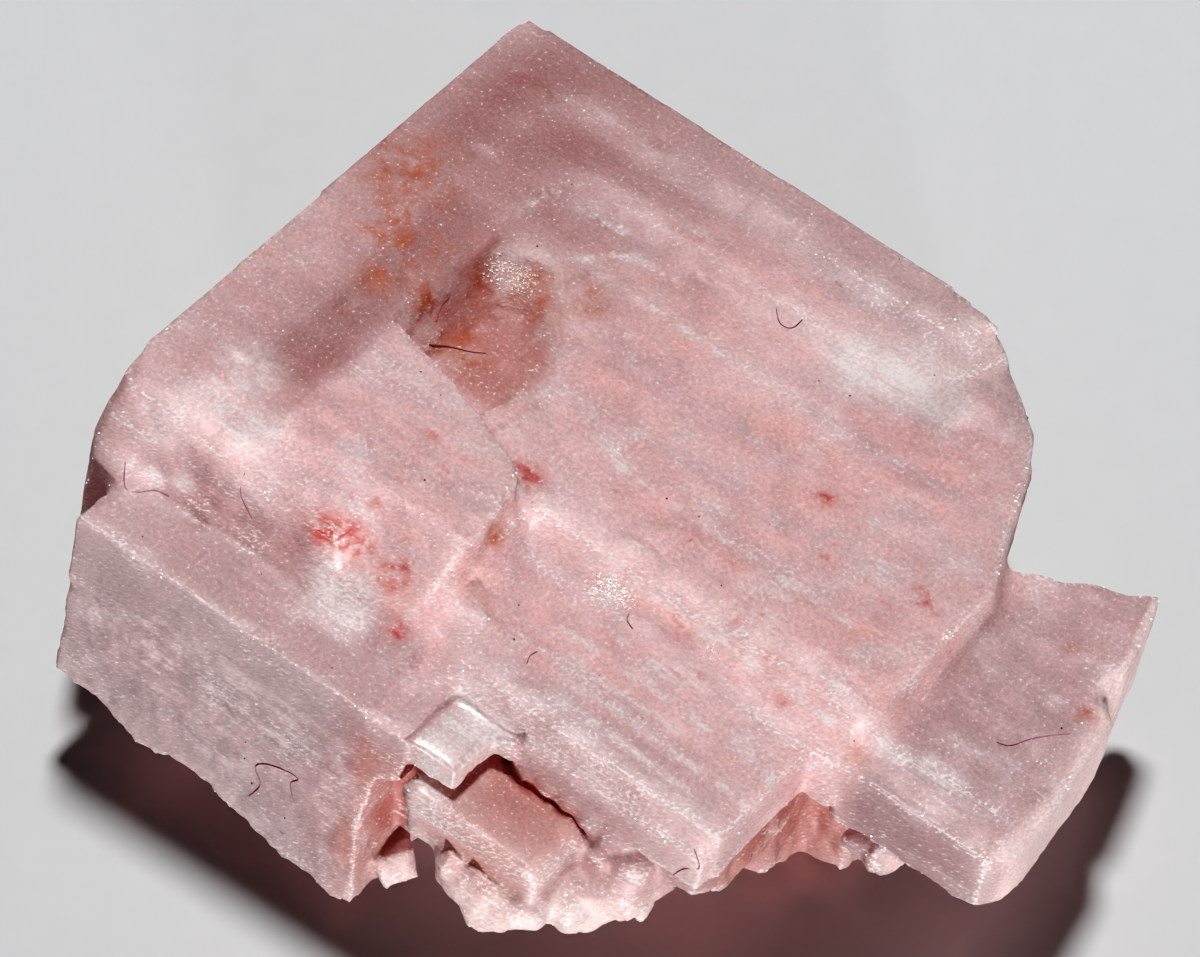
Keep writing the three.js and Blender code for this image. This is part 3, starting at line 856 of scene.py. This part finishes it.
def grainTree(look):
    tree, entry, leave = newGeometryTree("saltGrains", [(title, kind) for title, kind, _ in grainInputs])
    point = scaled(tree, positionOf(tree), 1000.0)
    up = partsOf(tree, normalOf(tree))[2]
    edge = attributeOf(tree, "edge")
    patches = ramp(tree, noiseOf(tree, point, 0.45, 3.0, 0.6), 0.42, 0.68)
    onEdge = product(tree, ramp(tree, edge, 0.12, 0.5), patches, entry.outputs["Edge Density"])
    onOpen = product(tree, patches, ramp(tree, up, -0.3, 0.3), entry.outputs["Open Density"])
    onCrust = product(tree, spotMask(tree, point, look["crustSpots"]), entry.outputs["Crust Density"])
    perM2 = calc(tree, "MULTIPLY", total(tree, onEdge, onOpen, onCrust), 1000000.0)
    spread = {"Mesh": entry.outputs[0], "Density": perM2, "Seed": entry.outputs["Seed"]}
    points = putNode(tree, "GeometryNodeDistributePointsOnFaces", spread)
    grain = putNode(tree, "GeometryNodeMeshCube", {"Size": (1.0, 1.0, 1.0)}).outputs[0]
    size = putNode(tree, "FunctionNodeRandomValue", {"Seed": 3})
    feed(tree, size.inputs[2], entry.outputs["Small"])
    feed(tree, size.inputs[3], entry.outputs["Large"])
    metres = calc(tree, "MULTIPLY", size.outputs[1], 0.001)
    spin = putNode(tree, "FunctionNodeRandomValue", {"Seed": 5}, data_type="FLOAT_VECTOR")
    spin.inputs[1].default_value = (6.283, 6.283, 6.283)
    placed = putNode(tree, "GeometryNodeInstanceOnPoints", {"Points": points.outputs[0], "Instance": grain})
    feed(tree, placed.inputs["Rotation"], spin.outputs[0])
    feed(tree, placed.inputs["Scale"], metres)
    return endTree(tree, placed.outputs[0], entry, leave)


def grainFinish(name, look):
    material, tree, shader, coords = newFinish(name)
    cloud = ramp(tree, noiseOf(tree, coords, 900.0), 0.35, 0.65)
    tree.links.new(mixed(tree, cloud, look["shade"], look["color"]), shader.inputs["Base Color"])
    shader.inputs["Roughness"].default_value = look["roughness"]
    shader.inputs["IOR"].default_value = saltLook["ior"]
    return material


def grainsOn(crystal, name, look):
    grains = linked(name, crystal.data.copy())
    grains.data.transform(latticeFromFrame)
    values = {title: look[key] for title, _, key in grainInputs}
    values["Material"] = grainFinish(name, look)
    applyTree(grains, grainTree(look), values)
    bakeModifiers(grains, name)
    grains.data.transform(frameFromLattice)
    print("stage:", name, len(grains.data.polygons), "faces")
    return grains


# Lint: a few dark fibres that lie on the crystal

lintLook = {
    "thickMm": 0.034,
    "sides": 5,
    "smoothness": 5,
    "roughness": 0.7,
    "color": (0.23, 0.10, 0.125, 1),
    "shade": (0.2, 0.06, 0.08, 1),
    # lattice points in mm, each drawn to the surface
    "fibres": [
        [(5.5, -21.7, -0.6), (5.6, -21.9, -1.3), (5.8, -21.9, -1.7), (6.2, -21.9, -2.1)],
        [(9.6, -24.9, -10.3), (9.95, -24.9, -9.4), (9.65, -24.9, -8.75), (10.1, -24.9, -8.2),
         (10.9, -24.9, -7.9), (11.25, -24.9, -8.0), (11.0, -24.9, -8.4), (11.15, -24.9, -8.9)],
        [(23.4, -22.6, -4.1), (23.7, -22.6, -3.5), (24.2, -22.6, -3.1), (24.1, -22.6, -2.8),
         (23.8, -22.6, -2.5)],
        [(28.5, -13.1, -1.95), (28.9, -12.9, -1.95), (29.3, -12.1, -1.95), (30.0, -11.2, -1.95)],
        [(5.6, -11.0, -1.0), (5.3, -11.4, -1.2), (5.5, -11.9, -1.5)],
        [(6.0, -12.6, -1.6), (6.3, -12.0, -2.0), (6.9, -11.6, -2.1), (7.3, -11.3, -2.1)],
        [(17.1, -16.8, -2.2), (17.2, -17.0, -2.2), (17.5, -17.15, -2.2)],
        [(15.9, -20.5, -2.2), (15.8, -20.2, -2.2), (15.85, -19.9, -2.2)],
        [(13.6, -4.4, -0.4), (14.0, -4.7, -0.6), (14.4, -4.6, -0.7), (14.5, -4.2, -0.5)],
        [(1.9, -22.9, -2.1), (2.2, -23.1, -2.9), (2.6, -22.9, -3.0), (2.9, -22.5, -3.0),
         (3.4, -22.4, -3.0)],
    ],
}


def fibreTree():
    sockets = [
        ("Thickness", "NodeSocketFloat"),
        ("Sides", "NodeSocketInt"),
        ("Smoothness", "NodeSocketInt"),
    ]
    tree, entry, leave = newGeometryTree("lintFibres", sockets)
    lines = putNode(tree, "GeometryNodeMeshToCurve", {0: entry.outputs[0]})
    splines = {"Curve": lines.outputs[0]}
    curves = putNode(tree, "GeometryNodeCurveSplineType", splines, spline_type="CATMULL_ROM")
    finer = {0: curves.outputs[0], "Resolution": entry.outputs["Smoothness"]}
    fluent = putNode(tree, "GeometryNodeSetSplineResolution", finer)
    radius = calc(tree, "MULTIPLY", entry.outputs["Thickness"], 0.5)
    ring = {"Resolution": entry.outputs["Sides"], "Radius": radius}
    section = putNode(tree, "GeometryNodeCurvePrimitiveCircle", ring)
    tube = {"Curve": fluent.outputs[0], "Profile Curve": section.outputs[0], "Fill Caps": True}
    skin = putNode(tree, "GeometryNodeCurveToMesh", tube)
    return endTree(tree, skin.outputs[0], entry, leave)


def lintFinish():
    material, tree, shader, coords = newFinish("lint")
    shade = ramp(tree, noiseOf(tree, coords, 2000.0), 0.3, 0.7)
    color = mixed(tree, shade, lintLook["color"], lintLook["shade"])
    tree.links.new(color, shader.inputs["Base Color"])
    shader.inputs["Roughness"].default_value = lintLook["roughness"]
    return material


def lintOn(crystal):
    surface = BVHTree.FromPolygons(
        [v.co for v in crystal.data.vertices], [p.vertices for p in crystal.data.polygons]
    )
    points = []
    edges = []
    half = lintLook["thickMm"] / 2000
    for fibre in lintLook["fibres"]:
        for index, place in enumerate(fibre):
            spot, normal = surface.find_nearest(onLattice(*place))[:2]
            points.append(spot + normal * half)
            if index:
                edges.append((len(points) - 2, len(points) - 1))
    mesh = bpy.data.meshes.new("lintPaths")
    mesh.from_pydata(points, edges, [])
    lint = linked("lintFibres", mesh)
    values = {
        "Thickness": lintLook["thickMm"] / 1000,
        "Sides": lintLook["sides"],
        "Smoothness": lintLook["smoothness"],
        "Material": lintFinish(),
    }
    applyTree(lint, fibreTree(), values)
    bakeModifiers(lint, "lintFibres")
    print("stage: lint", len(lint.data.polygons), "faces")
    return lint


# Floor, light and camera

stageLook = {
    "paper": (0.445, 0.45, 0.455, 1),
    "paperRoughness": 0.9,
    "floorHalfM": 1.5,
    "floorDropM": 0.00006,
    "sky": 0.006,
    "aimM": (0, 0, 0.006),
    "keyWatts": 1.52,
    "keySizeM": 0.05,
    "keyPlaceM": (0.015, 0.075, 0.32),
    "fillWatts": 2.6,
    "fillSizeM": 0.022,
    "fillPlaceM": (0.06, -0.375, 0.014),
    "toneCurve": [(0.06, 0.012), (0.12, 0.055), (0.25, 0.197), (0.5, 0.465)],  # darkens the shadows
    "lensMm": 174.0,
    "sensorMm": 36.0,
    "nearM": 0.005,
    "cameraPlaceM": (-0.000217, -0.109140, 0.157336),
    "cameraTiltDeg": 36,
    "bounces": 10,
    "glassBounces": 8,
    "noiseLimit": 0.05,
}


def paperFloor():
    side = stageLook["floorHalfM"]
    low = -stageLook["floorDropM"]
    corners = [(-side, -side, low), (side, -side, low), (side, side, low), (-side, side, low)]
    mesh = bpy.data.meshes.new("paperFloor")
    mesh.from_pydata(corners, [], [(0, 1, 2, 3)])
    floor = linked("paperFloor", mesh)
    material, tree, shader, coords = newFinish("paper")
    fibre = ramp(tree, noiseOf(tree, coords, 900.0, 3.0), 0.3, 0.7, 0.985, 1.0)
    color = mixed(tree, 1.0, stageLook["paper"], fibre, "MULTIPLY")
    tree.links.new(color, shader.inputs["Base Color"])
    shader.inputs["Roughness"].default_value = stageLook["paperRoughness"]
    mesh.materials.append(material)


def studioLight():
    world = bpy.data.worlds.new("studio")
    scene.world = world
    world.use_nodes = True
    sky = world.node_tree.nodes["Background"]
    sky.inputs["Color"].default_value = (1, 1, 1, 1)
    sky.inputs["Strength"].default_value = stageLook["sky"]
    areaLamp("keyLight", "key")
    areaLamp("fillLight", "fill")


def areaLamp(name, part):
    lamp = bpy.data.lights.new(name, "AREA")
    lamp.shape = "DISK"
    lamp.size = stageLook[part + "SizeM"]
    lamp.energy = stageLook[part + "Watts"]
    holder = bpy.data.objects.new(name, lamp)
    holder.location = stageLook[part + "PlaceM"]
    aim = Vector(stageLook["aimM"]) - holder.location
    holder.rotation_euler = aim.to_track_quat("-Z", "Y").to_euler()
    scene.collection.objects.link(holder)


def photoCamera():
    lens = bpy.data.cameras.new("camera")
    lens.lens = stageLook["lensMm"]
    lens.sensor_width = stageLook["sensorMm"]
    lens.clip_start = stageLook["nearM"]
    camera = bpy.data.objects.new("camera", lens)
    camera.location = stageLook["cameraPlaceM"]
    camera.rotation_euler = (math.radians(stageLook["cameraTiltDeg"]), 0, 0)
    scene.collection.objects.link(camera)
    scene.camera = camera


def pictureLook():
    scene.view_settings.view_transform = "Standard"
    scene.view_settings.use_curve_mapping = True
    tone = scene.view_settings.curve_mapping
    for light, shown in stageLook["toneCurve"]:
        tone.curves[3].points.new(light, shown).handle_type = "AUTO_CLAMPED"  # 3 is all colours at once
    tone.update()
    scene.cycles.max_bounces = stageLook["bounces"]
    scene.cycles.transmission_bounces = stageLook["glassBounces"]
    scene.cycles.adaptive_threshold = stageLook["noiseLimit"]
    scene.cycles.caustics_reflective = False
    scene.cycles.use_light_tree = False


crystal = crystalMesh(pinkSalt())
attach(crystal, "root")
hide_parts("halite_crystal")
print("stage: crystal in place")

saltGrains = grainsOn(crystal, "saltGrains", saltGrainLook)
dustSpecks = grainsOn(crystal, "dustSpecks", dustLook)
lint = lintOn(crystal)
for piece in (saltGrains, dustSpecks, lint):
    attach(piece, "root")

paperFloor()
studioLight()
photoCamera()
pictureLook()
print("stage: floor, light and camera")
